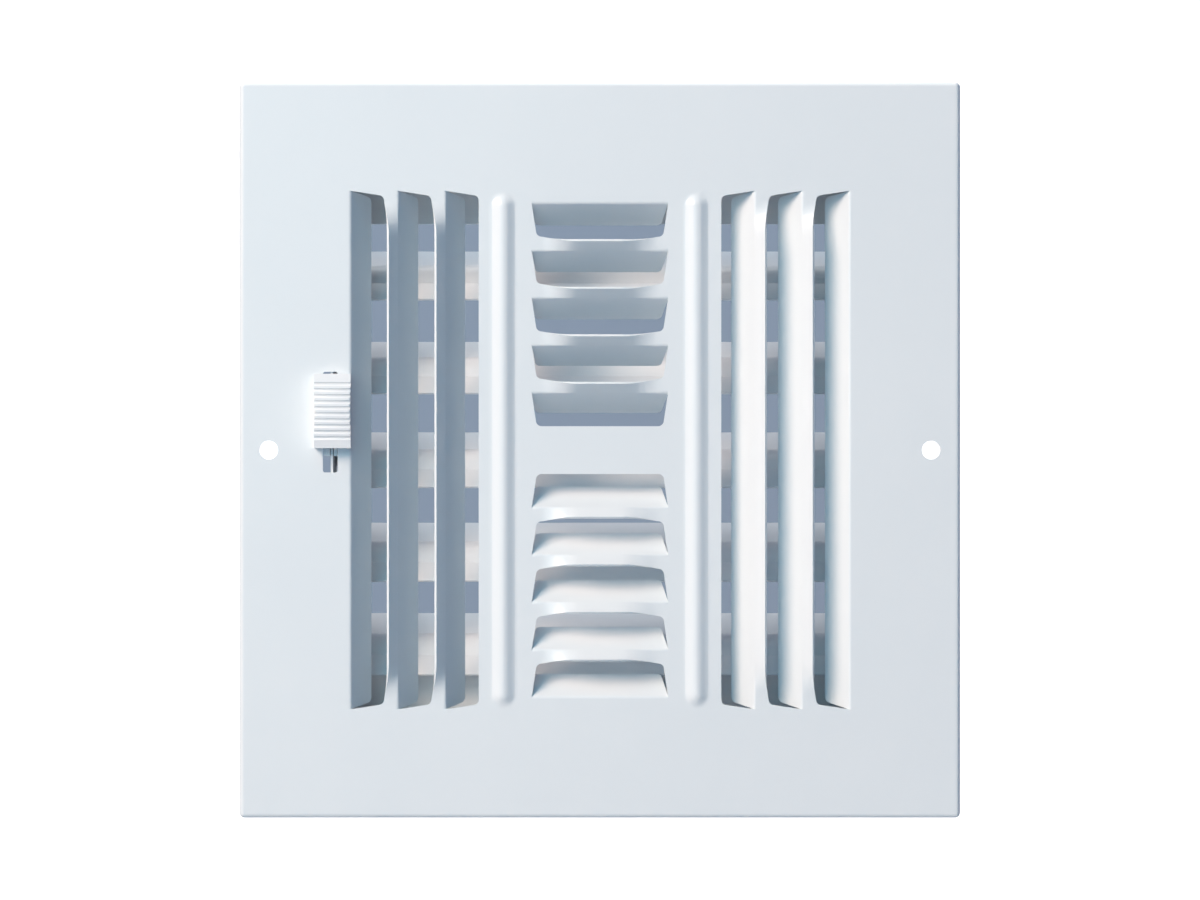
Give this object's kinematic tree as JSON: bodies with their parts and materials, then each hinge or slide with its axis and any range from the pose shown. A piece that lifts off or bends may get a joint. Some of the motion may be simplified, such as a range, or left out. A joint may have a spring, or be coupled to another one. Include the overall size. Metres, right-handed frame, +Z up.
{
  "type": "sidewall register",
  "caption": "Square stamped steel wall register with louvred banks facing every side, a slide knob in the face and a linked multi-blade shut-off damper behind it.",
  "frame": {"origin": "centre of the face's front surface, midway between the two screw holes", "axes": "+X to the right and +Z up as seen from the room, -Y out of the face into the room"},
  "size_m": [0.1934, 0.046, 0.1976],
  "materials": {
    "face_enamel": "smooth semi-gloss white baked enamel",
    "frame_enamel": "satin white baked enamel",
    "blade_enamel": "satin white baked enamel",
    "zinc_steel": "bright zinc plate",
    "galvanised_steel": "dull galvanised",
    "white_plastic": "moulded, faint gloss"
  },
  "bodies": {
    "register": {"face_plate": "face_enamel", "side_rail_left": "frame_enamel", "side_rail_right": "frame_enamel", "top_rail": "frame_enamel", "bottom_rail": "frame_enamel", "frame_rivets": "zinc_steel"},
    "operator": {"operating_bar": "galvanised_steel", "knob": "white_plastic"},
    "damper_1": {"blade_1": "blade_enamel", "blade_rod_1": "zinc_steel", "crank_pin_1": "zinc_steel"},
    "damper_2": {"blade_2": "blade_enamel", "blade_rod_2": "zinc_steel", "crank_pin_2": "zinc_steel"},
    "damper_3": {"blade_3": "blade_enamel", "blade_rod_3": "zinc_steel", "crank_pin_3": "zinc_steel"},
    "damper_4": {"blade_4": "blade_enamel", "blade_rod_4": "zinc_steel", "crank_pin_4": "zinc_steel"},
    "damper_5": {"blade_5": "blade_enamel", "blade_rod_5": "zinc_steel", "crank_pin_5": "zinc_steel"}
  },
  "joints": [
    {"name": "operator_slide", "type": "slide", "parent": "register", "child": "operator", "axis": [0, 0, -1], "range_m": [0, 0.00969]},
    {"name": "blade_1_turn", "type": "hinge", "parent": "register", "child": "damper_1", "pos_m": [0, 0.0264, 0.048], "axis": [1, 0, 0], "range_deg": [0, 58]},
    {"name": "blade_2_turn", "type": "hinge", "parent": "register", "child": "damper_2", "pos_m": [0, 0.0264, 0.02225], "axis": [1, 0, 0], "range_deg": [0, 58]},
    {"name": "blade_3_turn", "type": "hinge", "parent": "register", "child": "damper_3", "pos_m": [0, 0.0264, -0.0035], "axis": [1, 0, 0], "range_deg": [0, 58]},
    {"name": "blade_4_turn", "type": "hinge", "parent": "register", "child": "damper_4", "pos_m": [0, 0.0264, -0.02925], "axis": [1, 0, 0], "range_deg": [0, 58]},
    {"name": "blade_5_turn", "type": "hinge", "parent": "register", "child": "damper_5", "pos_m": [0, 0.0264, -0.055], "axis": [1, 0, 0], "range_deg": [0, 58]}
  ],
  "couplings": [
    {"joint": "blade_1_turn", "follows": "operator_slide", "rad_per_m": 104.4},
    {"joint": "blade_2_turn", "follows": "operator_slide", "rad_per_m": 104.4},
    {"joint": "blade_3_turn", "follows": "operator_slide", "rad_per_m": 104.4},
    {"joint": "blade_4_turn", "follows": "operator_slide", "rad_per_m": 104.4},
    {"joint": "blade_5_turn", "follows": "operator_slide", "rad_per_m": 104.4}
  ]
}
